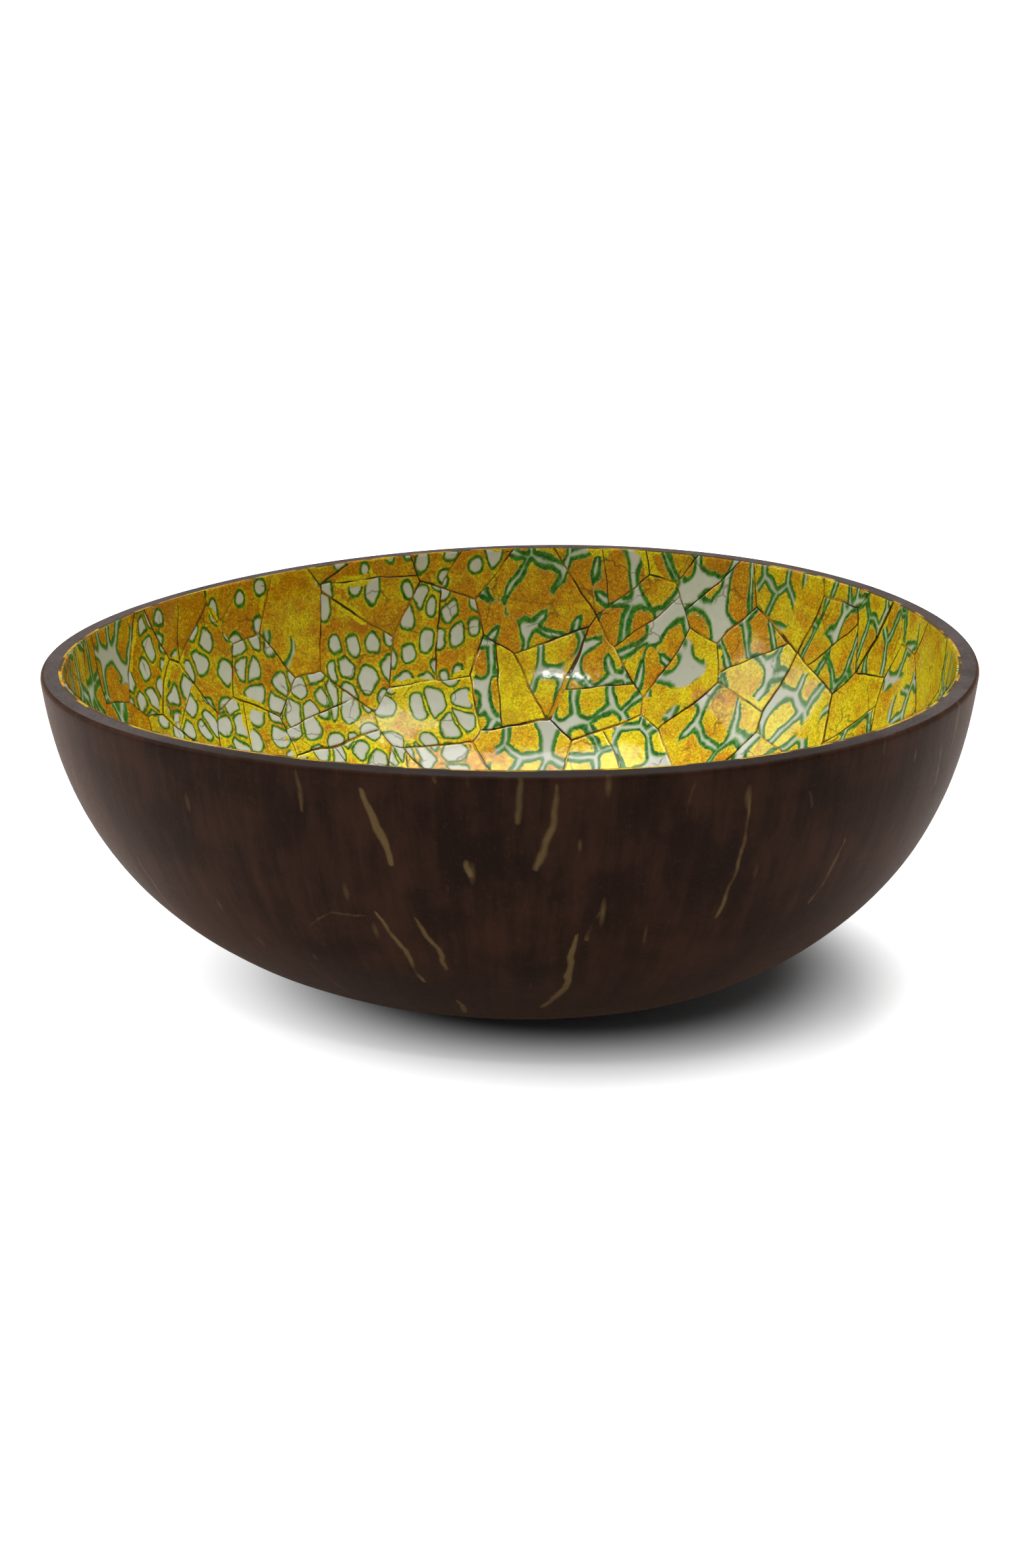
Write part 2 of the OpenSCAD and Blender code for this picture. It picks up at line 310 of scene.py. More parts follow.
class Wiring:
    """Adds nodes to one node tree and joins their sockets."""

    def __init__(self, tree: bpy.types.NodeTree) -> None:
        """Takes the tree that the nodes go into."""
        self.tree = tree

    def feed(self, socket: bpy.types.NodeSocket, value: Any) -> None:
        """Joins an output to an input, or sets the input's own value."""
        if isinstance(value, bpy.types.NodeSocket):
            self.tree.links.new(value, socket)
        else:
            socket.default_value = value

    def node(self, kind: str, sockets: dict[str | int, Any], **settings: Any) -> bpy.types.Node:
        """Adds one node.

        Args:
            kind: Blender's name for the kind of shader node, without its start.
            sockets: Values or other nodes' outputs, by input name or place.
            **settings: Properties of the node.

        Returns:
            The node.
        """
        made = self.tree.nodes.new("ShaderNode" + kind)
        for name, value in settings.items():
            setattr(made, name, value)
        for name, value in sockets.items():
            by_name = (s for s in made.inputs if s.enabled and s.name == name)
            self.feed(made.inputs[name] if isinstance(name, int) else next(by_name), value)
        return made

    def math(self, operation: str, *values: Any, clamp: bool = False) -> bpy.types.NodeSocket:
        """Adds a Math node and gives its result."""
        return self.node("Math", dict(enumerate(values)), operation=operation, use_clamp=clamp).outputs[0]

    def plus(self, first: Any, second: Any) -> bpy.types.NodeSocket:
        """Adds two numbers."""
        return self.math("ADD", first, second)

    def minus(self, first: Any, second: Any, clamp: bool = False) -> bpy.types.NodeSocket:
        """Takes the second number from the first."""
        return self.math("SUBTRACT", first, second, clamp=clamp)

    def times(self, first: Any, second: Any, clamp: bool = False) -> bpy.types.NodeSocket:
        """Multiplies two numbers."""
        return self.math("MULTIPLY", first, second, clamp=clamp)

    def times_plus(self, first: Any, second: Any, third: Any) -> bpy.types.NodeSocket:
        """Multiplies two numbers and adds a third."""
        return self.math("MULTIPLY_ADD", first, second, third)

    def vector(self, operation: str, *values: Any) -> bpy.types.NodeSocket:
        """Adds a Vector Math node and gives its vector."""
        return self.node("VectorMath", dict(enumerate(values)), operation=operation).outputs["Vector"]

    def scaled(self, vector: Any, scale: Any) -> bpy.types.NodeSocket:
        """Scales a vector by a number."""
        return self.node("VectorMath", {0: vector, "Scale": scale}, operation="SCALE").outputs["Vector"]

    def mix(self, share: Any, first: Any, second: Any, blend: str = "MIX") -> bpy.types.NodeSocket:
        """Mixes two colours and gives the result."""
        sockets = {"Factor": share, "A": first, "B": second}
        made = self.node("Mix", sockets, data_type="RGBA", blend_type=blend)
        return next(s for s in made.outputs if s.enabled)

    def noise(
        self, vector: Any, scale: float, detail: float = 2.0, roughness: float = 0.5, output: int | str = 0
    ) -> bpy.types.NodeSocket:
        """Adds a noise texture and gives its value, from 0 to 1, or another output."""
        sockets = {"Vector": vector, "Scale": scale, "Detail": detail, "Roughness": roughness}
        return self.node("TexNoise", sockets).outputs[output]

    def stray(self, vector: Any, scale: float, detail: float, roughness: float = 0.5) -> bpy.types.NodeSocket:
        """Gives a soft noise round nought."""
        return self.minus(self.noise(vector, scale, detail, roughness), 0.5)

    def sway(self, vector: Any, scale: float, detail: float, reach: float) -> bpy.types.NodeSocket:
        """Gives a soft shift of place, up to half the reach each way."""
        shift = self.noise(vector, scale, detail, output="Color")
        return self.scaled(self.vector("SUBTRACT", shift, (0.5, 0.5, 0.5)), reach)

    def cells(
        self, vector: Any, scale: float, feature: str = "F1", dimensions: str = "3D", **more: float
    ) -> bpy.types.Node:
        """Adds a Voronoi texture, with more of its inputs by name."""
        sockets = {"Vector": vector, "Scale": scale, **more}
        return self.node("TexVoronoi", sockets, voronoi_dimensions=dimensions, feature=feature)

    def channels(self, texture: bpy.types.Node) -> list[bpy.types.NodeSocket]:
        """Gives the three numbers in a texture's colour."""
        return list(self.node("SeparateColor", {0: texture.outputs["Color"]}).outputs)

    def axis(self, vector: Any, name: str) -> bpy.types.NodeSocket:
        """Gives one coordinate of a place."""
        return self.node("SeparateXYZ", {0: vector}).outputs[name]

    def ramp(
        self, value: Any, low: Any, high: Any, start: float = 0.0, end: float = 1.0
    ) -> bpy.types.NodeSocket:
        """Turns values between low and high into a soft step from start to end."""
        sockets = {"Value": value, "From Min": low, "From Max": high, "To Min": start, "To Max": end}
        return self.node("MapRange", sockets, interpolation_type="SMOOTHSTEP").outputs[0]

    def attribute(self, name: str) -> bpy.types.NodeSocket:
        """Reads a number stored on the mesh."""
        return self.node("Attribute", {}, attribute_name=name).outputs["Fac"]

    def bump(self, strength: float, distance: float, height: Any) -> bpy.types.NodeSocket:
        """Gives the normals of a fine relief."""
        return self.node("Bump", {"Strength": strength, "Distance": distance, "Height": height}).outputs[0]


class Surface:
    """A principled material with what it is wired from."""

    def __init__(self, name: str) -> None:
        """Makes the material."""
        self.material = bpy.data.materials.new(name)
        self.material.use_nodes = True
        self.wire = Wiring(self.material.node_tree)
        self.shader = self.material.node_tree.nodes["Principled BSDF"]
        self.place = self.wire.node("TexCoord", {}).outputs["Object"]

    def give(self, sockets: dict[str, Any]) -> bpy.types.Material:
        """Sets inputs of the shader, or links them, and gives the material."""
        for name, value in sockets.items():
            self.wire.feed(self.shader.inputs[name], value)
        return self.material


class EffectGroup:
    """A shader node group with named inputs and outputs, for an effect that materials share."""

    def __init__(self, name: str, inputs: dict[str, str], outputs: dict[str, str]) -> None:
        """Makes the empty group with its sockets.

        Args:
            name: Name of the effect.
            inputs: Kind of each input, by name.
            outputs: Kind of each output, by name.
        """
        self.tree = bpy.data.node_groups.new(name, "ShaderNodeTree")
        for side, sockets in (("INPUT", inputs), ("OUTPUT", outputs)):
            for label, kind in sockets.items():
                self.tree.interface.new_socket(name=label, in_out=side, socket_type="NodeSocket" + kind)
        self.wire = Wiring(self.tree)
        self.take = self.tree.nodes.new("NodeGroupInput").outputs
        self.exit = self.tree.nodes.new("NodeGroupOutput")

    def give(self, sockets: dict[str, bpy.types.NodeSocket]) -> bpy.types.NodeTree:
        """Feeds the outputs of the group, and gives its tree."""
        for name, value in sockets.items():
            self.wire.feed(self.exit.inputs[name], value)
        return self.tree


def sanded_layers_group() -> bpy.types.NodeTree:
    """Builds the look of a sheet sanded through its layers: cores, rings round them and ground between."""
    made = EffectGroup(
        "sanded layers",
        {"Sheet": "Vector", **dict.fromkeys(SHEET_NUMBERS + EDGE_NUMBERS, "Float")},
        dict.fromkeys(("Core", "Ring", "Depth", "Chance"), "Float"),
    )
    wire, take = made.wire, made.take
    sheet, cell, least = take["Sheet"], take["Cell"], take["Least"]
    bent = wire.vector("ADD", sheet, wire.sway(sheet, 1.1, 1.5, 0.42))
    spots = wire.cells(bent, 1.0, "SMOOTH_F1", "2D", Smoothness=0.2, Randomness=0.72)
    walls = wire.cells(bent, 1.0, "DISTANCE_TO_EDGE", "2D", Randomness=0.72)
    chance = wire.channels(spots)
    size = wire.times_plus(chance[0], wire.minus(1.0, least), least)
    reach = wire.times(take["Fill"], size)
    inward = wire.times(wire.minus(reach, spots.outputs["Distance"]), cell)
    edge = wire.times(walls.outputs["Distance"], cell)
    millimetres = wire.scaled(sheet, cell)
    gap = wire.times_plus(wire.stray(millimetres, 0.2, 1.0), take["Stray"], take["Gap"])
    depth = wire.math("SMOOTH_MIN", inward, wire.minus(edge, gap), 0.7)
    fuzz = wire.stray(millimetres, 2.6, 3.0, 0.7)
    depth = wire.times_plus(wire.stray(millimetres, 0.7, 2.0), 0.5, depth)
    flood = wire.ramp(wire.noise(millimetres, 0.085, 1.0), 0.56, 0.68)
    depth = wire.times_plus(flood, take["Flood"], depth)
    outer = wire.times_plus(fuzz, take["Outer Fuzz"], depth)
    inner = wire.minus(wire.times_plus(fuzz, take["Inner Fuzz"], depth), take["Ring"])
    core = wire.ramp(inner, wire.times(take["Inner Soft"], -1.0), take["Inner Soft"])
    ringed = wire.ramp(outer, wire.times(take["Outer Soft"], -1.0), take["Outer Soft"])
    ring = wire.times(ringed, wire.minus(1.0, core))
    return made.give({"Core": core, "Ring": ring, "Depth": outer, "Chance": chance[1]})


def glitter_gold_group() -> bpy.types.NodeTree:
    """Builds the look of gold glitter in lacquer: ochre clouded with yellow, grainy, with bright flakes painted
    in as glints.
    """
    made = EffectGroup(
        "glitter gold",
        {"Place": "Vector", "Dull": "Color", "Bright": "Color", "Flake": "Color", "Tone": "Float"},
        {"Color": "Color", "Height": "Float", "Roughness": "Float"},
    )
    wire, take = made.wire, made.take
    place = take["Place"]
    large, small = (wire.channels(wire.cells(place, scale)) for scale in (3200.0, 6200.0))
    level = wire.times_plus(take["Tone"], 0.34, wire.noise(place, 230.0, 4.0, 0.62))
    ground = wire.mix(wire.ramp(level, 0.5, 0.92), take["Dull"], take["Bright"])
    speck = wire.times_plus(small[0], 0.5, wire.times_plus(large[0], 0.5, 0.52))
    grey = wire.node("CombineColor", dict.fromkeys(range(3), speck))
    uneven = wire.mix(1.0, ground, grey.outputs[0], "MULTIPLY")
    sharp = wire.times_plus(large[1], 0.45, wire.times(small[1], 0.55))
    # Painted glints: scattered flakes are painted bright yellow, standing in for glitter that catches the light.
    lit = wire.ramp(wire.times_plus(level, 0.36, sharp), 0.97, 1.1, 0.0, 0.8)
    return made.give(
        {
            "Color": wire.mix(lit, uneven, take["Flake"]),
            "Height": wire.times_plus(large[2], 0.7, wire.times(small[2], 0.5)),
            "Roughness": wire.times_plus(small[0], 0.2, 0.42),
        }
    )


@dataclass(frozen=True)
class Effects:
    """Node groups that the lacquer materials share, each built once."""

    layers: bpy.types.NodeTree = field(default_factory=sanded_layers_group)
    glitter: bpy.types.NodeTree = field(default_factory=glitter_gold_group)


@dataclass(frozen=True)
class ShellFinish:
    """Polished outside of the coconut shell: dark brown, mottled, with tan fibres and specks, and painted shade
    towards the foot.
    """

    dark: Colour = colour(37, 23, 17)
    warm: Colour = colour(60, 38, 28)
    black: Colour = colour(22, 13, 9)
    fibre: Colour = colour(118, 96, 60)
    speck: Colour = colour(76, 54, 40)
    sheen: Colour = colour(176, 140, 118)
    grain_r: float = 67.5 * MM
    grain_rise: float = 0.16

    def material(self) -> bpy.types.Material:
        """Makes the material, which reads where the fibres are from the mesh."""
        made = Surface("polished coconut shell")
        wire, place = made.wire, made.place
        ring = wire.vector("NORMALIZE", wire.vector("MULTIPLY", place, (1.0, 1.0, 0.0)))
        ring = wire.scaled(ring, self.grain_r)
        drawn = wire.vector("ADD", ring, wire.vector("MULTIPLY", place, (0.0, 0.0, self.grain_rise)))
        grain = wire.noise(drawn, 420.0, 4.0, 0.65)
        mottle = wire.noise(place, 75.0, 4.0, 0.6)
        fine = wire.noise(place, 1500.0, 3.0, 0.7)
        warm = wire.ramp(wire.times_plus(grain, 0.55, wire.times(mottle, 0.75)), 0.5, 0.86)
        base = wire.mix(warm, self.dark, self.warm)
        shade = wire.ramp(wire.times_plus(fine, 0.35, mottle), 0.68, 0.45, 0.0, 0.22)
        base = wire.mix(shade, base, self.black)
        base = wire.mix(wire.ramp(fine, 0.56, 0.74, 0.0, 0.25), base, self.speck)
        base = self._specks(made, ring, base)
        fray = wire.times_plus(fine, 0.5, wire.times(wire.noise(drawn, 1900.0), 0.5))
        mask = wire.ramp(wire.minus(wire.attribute("fibre"), wire.times(fray, 0.5)), -0.1, 0.5)
        mask = wire.times(mask, wire.times_plus(fine, 0.5, 0.5), clamp=True)
        # Painted shade: the outside is painted darker towards the foot, nearly black at the bottom, standing in
        # for the shade near the floor.
        low = wire.ramp(wire.axis(place, "Z"), 21 * MM, 3 * MM, 0.0, 0.9)
        base = wire.mix(low, base, self.black)
        return made.give(
            {
                "Base Color": wire.mix(mask, base, self.fibre),
                "Roughness": wire.times_plus(fine, 0.22, wire.times_plus(mottle, 0.1, 0.28)),
                "Normal": wire.bump(0.22, 0.12 * MM, wire.times_plus(grain, 0.8, fine)),
                "Specular IOR Level": 0.03,
                "Sheen Weight": 0.45,
                "Sheen Roughness": 0.4,
                "Sheen Tint": self.sheen,
            }
        )

    def _specks(self, made: Surface, ring: Any, base: Any) -> bpy.types.NodeSocket:
        """Scatters short tan specks that run up the shell."""
        wire = made.wire
        for count, tall, largest, share in ((150.0, 0.2, 0.13, 0.6), (340.0, 0.33, 0.22, 0.5)):
            up = wire.vector("MULTIPLY", made.place, (0.0, 0.0, tall))
            spot = wire.cells(wire.vector("ADD", ring, up), count, Randomness=1.0)
            reach = wire.times(wire.ramp(wire.channels(spot)[0], 0.5, 1.0), largest)
            away = wire.math("DIVIDE", spot.outputs["Distance"], wire.plus(reach, 0.0001))
            base = wire.mix(wire.times(wire.minus(1.0, away, clamp=True), share), base, self.fibre)
        return base


@dataclass(frozen=True)
class SawnFinish:
    """Sawn and sanded flat of the rim and foot: matte grey brown with fine grain."""

    face: Colour = colour(88, 79, 76)
    dark: Colour = colour(34, 25, 22)
    black: Colour = colour(24, 14, 9)

    def material(self) -> bpy.types.Material:
        """Makes the material, which is painted darker towards the front as painted shade."""
        made = Surface("sanded shell edge")
        wire, place = made.wire, made.place
        grain = wire.noise(place, 2600.0, 3.0, 0.7)
        cloud = wire.times_plus(wire.noise(place, 160.0, 3.0), 0.6, grain)
        base = wire.mix(wire.ramp(cloud, 0.95, 0.6, 0.0, 0.5), self.face, self.dark)
        # Painted shade: the flat is painted nearly black towards the front of the bowl.
        front = wire.ramp(wire.axis(place, "Y"), -36 * MM, -60 * MM, 0.0, 0.8)
        return made.give(
            {
                "Base Color": wire.mix(front, base, self.black),
                "Roughness": wire.times_plus(grain, 0.2, 0.55),
                "Normal": wire.bump(0.4, 0.1 * MM, grain),
                "Specular IOR Level": 0.12,
            }
        )


@dataclass(frozen=True)
class LacquerFinish:
    """Lacquer of the shards, pools and bed: white, green and glitter gold under a clear gloss."""

    effects: Effects
    white: Colour = colour(226, 227, 216)
    chalk: Colour = colour(203, 206, 192)
    green: Colour = colour(76, 152, 20)
    deep_green: Colour = colour(24, 92, 8)
    pale_green: Colour = colour(136, 186, 120)
    ochre: Colour = colour(208, 142, 2)
    yellow: Colour = colour(230, 209, 4)
    # Bright yellow of the painted glints on the glitter flakes.
    flake: Colour = colour(255, 238, 56)
    rust: Colour = colour(166, 96, 10)
    # Dark brown of the fine cracks and specks, also used for the painted shade on the walls of the shards and
    # pools and on the bed in the joints.
    crack_and_shade: Colour = colour(84, 60, 14)

    def _gold(self, made: Surface, tone: Any) -> bpy.types.Node:
        """Places the glitter gold; the higher the tone, the yellower."""
        tints = {"Dull": self.ochre, "Bright": self.yellow, "Flake": self.flake}
        sockets = {"Place": made.place, **tints, "Tone": tone}
        return made.wire.node("Group", sockets, node_tree=self.effects.glitter)

    def _layers(self, made: Surface, kind: ShardKind) -> bpy.types.Node:
        """Places the layers of the sheet that a kind of shard was cut from, as its mesh says they lie."""
        read = {name: made.wire.attribute(name.lower()) for name in SHEET_NUMBERS}
        sheet = made.wire.node("UVMap", {}, uv_map="sheet").outputs[0]
        sockets = {"Sheet": sheet, **read, **dict(zip(EDGE_NUMBERS, SHEET_EDGES[kind]))}
        return made.wire.node("Group", sockets, node_tree=self.effects.layers)

    def _coated(
        self, made: Surface, gold: bpy.types.Node, tint: Any, metal: Any, shine: float
    ) -> bpy.types.Material:
        """Ends a lacquer material.

        Args:
            made: The material.
            gold: Its glitter gold.
            tint: Its colour.
            metal: Where it is gold, from 0 to 1, so where the flakes stand out.
            shine: How metallic the gold is.

        Returns:
            The material, under a clear coat with soft waves.
        """
        wire = made.wire
        return made.give(
            {
                "Base Color": tint,
                "Metallic": wire.times(metal, shine),
                "Roughness": gold.outputs["Roughness"],
                "Normal": wire.bump(0.4, 0.1 * MM, wire.times(gold.outputs["Height"], metal)),
                "Specular IOR Level": 0.15,
                "Coat Weight": 1.0,
                "Coat Roughness": 0.06,
                "Coat IOR": 1.34,
                "Coat Normal": wire.bump(0.22, 0.3 * MM, wire.noise(made.place, 330.0)),
            }
        )

    def shard(self, kind: ShardKind) -> bpy.types.Material:
        """Makes the material of the white spot or gold cell shards."""
        made = Surface(kind.slot.replace("_", " "))
        wire, place = made.wire, made.place
        layers = self._layers(made, kind).outputs
        core, ring, depth = layers["Core"], layers["Ring"], layers["Depth"]
        spotted = kind is ShardKind.WHITE_SPOT
        near = wire.ramp(depth, *((-0.9, -0.1) if spotted else (1.3, 0.4)))
        tone = wire.times_plus(near, 0.3, wire.attribute("tone"))
        gold = self._gold(made, wire.times_plus(layers["Chance"], 0.3, tone))
        rust = wire.ramp(wire.noise(place, 120.0), 0.58, 0.75, 0.0, 0.4)
        golden = wire.mix(rust, gold.outputs["Color"], self.rust)
        chalk = wire.mix(wire.noise(place, 700.0, 3.0, 0.6), self.white, self.chalk)
        green = wire.ramp(wire.noise(place, 1400.0, 3.0, 0.7), 0.35, 0.7)
        green = wire.mix(green, self.deep_green, self.green)
        halo = wire.ramp(depth, *((0.75, 0.2, 0.0, 0.4) if spotted else (-0.42, 0.0, 0.0, 0.45)))
        pale = wire.mix(halo, chalk, self.pale_green)
        inside, outside = (pale, golden) if spotted else (golden, pale)
        tint = wire.mix(core, wire.mix(ring, outside, green), inside)
        metal = wire.minus(1.0, wire.plus(core, ring), clamp=True) if spotted else core
        tint, metal = self._glue(made, tint, metal)
        tint = wire.mix(self._hairlines(made), tint, self.crack_and_shade)
        # Painted shade: the walls of the shards, down in the joints, are painted dark brown, more on some shards
        # than on others.
        edge_shade = wire.ramp(wire.attribute("chance"), 0.85, 0.45, 0.15, 0.7)
        tint = wire.mix(wire.times(wire.attribute("edge"), edge_shade), tint, self.crack_and_shade)
        return self._coated(made, gold, tint, metal, 0.3)

    def _glue(
        self, made: Surface, tint: Any, metal: Any
    ) -> tuple[bpy.types.NodeSocket, bpy.types.NodeSocket]:
        """Lets bright lacquer run over the margins of the shards in places."""
        wire, place = made.wire, made.place
        bright = self._gold(made, 1.3).outputs["Color"]
        margin = wire.times_plus(wire.noise(place, 700.0, 3.0, 0.6), 1.5, wire.attribute("margin"))
        reach = wire.ramp(wire.noise(place, 95.0), 0.52, 0.68, -0.3, 1.6)
        share = wire.ramp(margin, wire.plus(reach, 0.12), reach)
        return wire.mix(share, tint, bright), wire.math("MAXIMUM", metal, share)

    def _hairlines(self, made: Surface) -> bpy.types.NodeSocket:
        """Gives the fine cracks that run inside some shards."""
        wire, place = made.wire, made.place
        path = wire.vector("ADD", wire.scaled(place, 125.0), wire.sway(place, 420.0, 2.0, 0.35))
        lines = wire.cells(path, 1.0, "DISTANCE_TO_EDGE").outputs["Distance"]
        some = wire.ramp(wire.noise(place, 160.0, 1.0), 0.5, 0.56, 0.0, 0.55)
        return wire.times(wire.ramp(lines, 0.022, 0.008), some)

    def pool(self) -> bpy.types.Material:
        """Makes the material of the bright pools between the shards, with a few chips of sheet in them."""
        made = Surface("gold pool")
        wire, place = made.wire, made.place
        layers = self._layers(made, ShardKind.GOLD_POOL).outputs
        gold = self._gold(made, wire.plus(wire.attribute("tone"), 0.1))
        green = wire.mix(wire.noise(place, 1400.0, 3.0, 0.7), self.deep_green, self.green)
        chip = wire.mix(layers["Ring"], self.chalk, green)
        some = wire.ramp(wire.noise(place, 85.0, 1.0), 0.47, 0.5)
        share = wire.minus(1.0, wire.times(some, wire.minus(1.0, layers["Core"])))
        tint = wire.mix(share, chip, gold.outputs["Color"])
        tint = wire.mix(wire.ramp(wire.noise(place, 2100.0), 0.7, 0.78, 0.0, 0.5), tint, self.crack_and_shade)
        # Painted shade: the walls of the pools are painted half dark, for the shade in the joints.
        tint = wire.mix(wire.times(wire.attribute("edge"), 0.5), tint, self.crack_and_shade)
        return self._coated(made, gold, tint, share, 0.2)

    def bed(self) -> bpy.types.Material:
        """Makes the material of the bed, which shows in the joints: mostly painted dark as shade in the joints,
        gold in places.
        """
        made = Surface("gold lacquer bed")
        gold = self._gold(made, 0.4)
        # Painted shade: the bed is painted dark brown in most places, standing in for the shade down in the
        # joints.
        share = made.wire.ramp(made.wire.noise(made.place, 150.0), 0.46, 0.54)
        tint = made.wire.mix(share, self.crack_and_shade, gold.outputs["Color"])
        return self._coated(made, gold, tint, share, 0.3)


@dataclass(frozen=True)
class FilmFinish:
    """Clear lacquer over the lining: nearly all see-through, with a faint mirror."""

    cool: Colour = (0.92, 0.95, 0.95, 1.0)
    clear: Colour = (1.0, 1.0, 1.0, 1.0)
    mirror_share: float = 0.004

    def material(self) -> bpy.types.Material:
        """Makes the material."""
        made = Surface("clear lacquer film")
        wire, place = made.wire, made.place
        return made.give(
            {
                "Base Color": wire.mix(wire.noise(place, 60.0), self.cool, self.clear),
                "Metallic": 1.0,
                "Roughness": 0.1,
                "Alpha": self.mirror_share,
                "Normal": wire.bump(0.34, 0.6 * MM, wire.noise(place, 240.0, 2.5)),
            }
        )


class Bench:
    """Small jobs at the bench that several pieces need."""

    @staticmethod
    def hold(*pieces: bpy.types.Object) -> None:
        """Selects some pieces alone and makes the first active."""
        bpy.ops.object.select_all(action="DESELECT")
        for piece in pieces:
            piece.select_set(True)
        bpy.context.view_layer.objects.active = pieces[0]

    @staticmethod
    @contextmanager
    def editing(piece: bpy.types.Object, chosen: np.ndarray | None = None) -> Iterator[None]:
        """Opens a piece for editing by faces, with all of them selected or only the chosen ones."""
        Bench.hold(piece)
        bpy.ops.object.mode_set(mode="EDIT")
        bpy.ops.mesh.select_mode(type="FACE")
        bpy.ops.mesh.select_all(action="SELECT" if chosen is None else "DESELECT")
        if chosen is not None:
            bpy.ops.object.mode_set(mode="OBJECT")
            piece.data.polygons.foreach_set("select", chosen)
            bpy.ops.object.mode_set(mode="EDIT")
        yield
        bpy.ops.object.mode_set(mode="OBJECT")

    @staticmethod
    def read(rows: Any, name: str, kind: type = float, width: int = 1) -> np.ndarray:
        """Reads a property of all the points, faces or corners of a mesh.

        Args:
            rows: The points, faces or corners.
            name: Name of the property.
            kind: Kind of number in it.
            width: How many numbers it has.

        Returns:
            The values, with one row each where they are wider than one number.
        """
        values = np.zeros(len(rows) * width, dtype=kind)
        rows.foreach_get(name, values)
        return values if width == 1 else values.reshape(-1, width)

    @staticmethod
    def points_of(piece: bpy.types.Object) -> np.ndarray:
        """Gives the vertices of a mesh, one a row."""
        return Bench.read(piece.data.vertices, "co", width=3)

    @staticmethod
    def place_points(piece: bpy.types.Object, points: np.ndarray) -> None:
        """Moves the vertices of a mesh."""
        piece.data.vertices.foreach_set("co", points.astype(np.float32).ravel())
        piece.data.update()

    @staticmethod
    def store(piece: bpy.types.Object, name: str, values: np.ndarray) -> None:
        """Stores a number at each vertex."""
        made = piece.data.attributes.new(name, "FLOAT", "POINT")
        made.data.foreach_set("value", values.astype(np.float32))

    @staticmethod
    def dress(piece: bpy.types.Object, *materials: bpy.types.Material) -> None:
        """Gives a piece its materials, all of it the first."""
        piece.data.materials.clear()
        for material in materials:
            piece.data.materials.append(material)
        faces = piece.data.polygons
        faces.foreach_set("material_index", np.zeros(len(faces), dtype=np.int32))

    @staticmethod
    def spin(name: str, profile: np.ndarray, steps: int = 240) -> bpy.types.Object:
        """Turns a section round the axis, as on a lathe.

        Args:
            name: Name of the piece.
            profile: Radius and height along the section, from the axis to the axis.
            steps: Number of steps round.

        Returns:
            The closed piece, with its normals outwards.
        """
        bpy.ops.object.select_all(action="DESELECT")
        bpy.ops.mesh.primitive_plane_add(size=MM)
        piece = bpy.context.object
        piece.name = piece.data.name = name
        bpy.ops.object.mode_set(mode="EDIT")
        bpy.ops.mesh.select_mode(type="VERT")
        bpy.ops.mesh.merge(type="CENTER")
        points = np.array([[radius, 0.0, height] for radius, height in profile])
        bpy.ops.transform.translate(value=tuple(points[0]))
        for step in np.diff(points, axis=0):
            bpy.ops.mesh.extrude_region_move(TRANSFORM_OT_translate={"value": tuple(step)})
        bpy.ops.mesh.select_all(action="SELECT")
        bpy.ops.mesh.spin(steps=steps, angle=2 * math.pi, center=(0, 0, 0), axis=(0, 0, 1))
        bpy.ops.mesh.select_all(action="SELECT")
        bpy.ops.mesh.remove_doubles(threshold=0.02 * MM)
        bpy.ops.mesh.normals_make_consistent(inside=False)
        bpy.ops.object.mode_set(mode="OBJECT")
        return piece

    @staticmethod
    def smooth(piece: bpy.types.Object, degrees: float) -> None:
        """Shades a piece smooth, but for edges sharper than an angle, without the normals it came with."""
        Bench.hold(piece)
        bpy.ops.mesh.customdata_custom_splitnormals_clear()
        bpy.ops.object.shade_smooth_by_angle(angle=math.radians(degrees), keep_sharp_edges=False)

    @staticmethod
    def set_on_frame(piece: bpy.types.Object, slot: str, *nodes: str) -> None:
        """Rides a finished piece on the frame in place of its CAD nodes, and reports it."""
        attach(piece, BODY)
        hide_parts(*nodes)
        LOG.info("%s: %d faces", piece.name, len(piece.data.polygons))


@dataclass(frozen=True)
class Fibre:
    """A tan fibre that shows in the polished shell, as a tapered line along a few points."""

    path: np.ndarray
    width: float
    strength: float

    def away(self, points: np.ndarray) -> tuple[np.ndarray, np.ndarray]:
        """Gives each point's distance from the fibre, and how far along it is nearest, from 0 to 1."""
        best = np.full(len(points), 1.0)
        share = np.zeros(len(points))
        legs = len(self.path) - 1
        for leg in range(legs):
            start, way = self.path[leg], self.path[leg + 1] - self.path[leg]
            along = np.clip((points - start) @ way / (way @ way), 0, 1)
            distance = np.linalg.norm(points - start - along[:, None] * way, axis=1)
            nearer = distance < best
            best = np.where(nearer, distance, best)
            share = np.where(nearer, (leg + along) / legs, share)
        return best, share

    def mask(self, points: np.ndarray) -> np.ndarray:
        """Gives how strongly the fibre shows at each point, from 0 to 1."""
        distance, share = self.away(points)
        width = self.width * (0.45 + 0.9 * np.sqrt(np.clip(share * (1.25 - share) * 2.2, 0, 1)))
        return self.strength * np.clip(1.25 - distance / width, 0, 1)


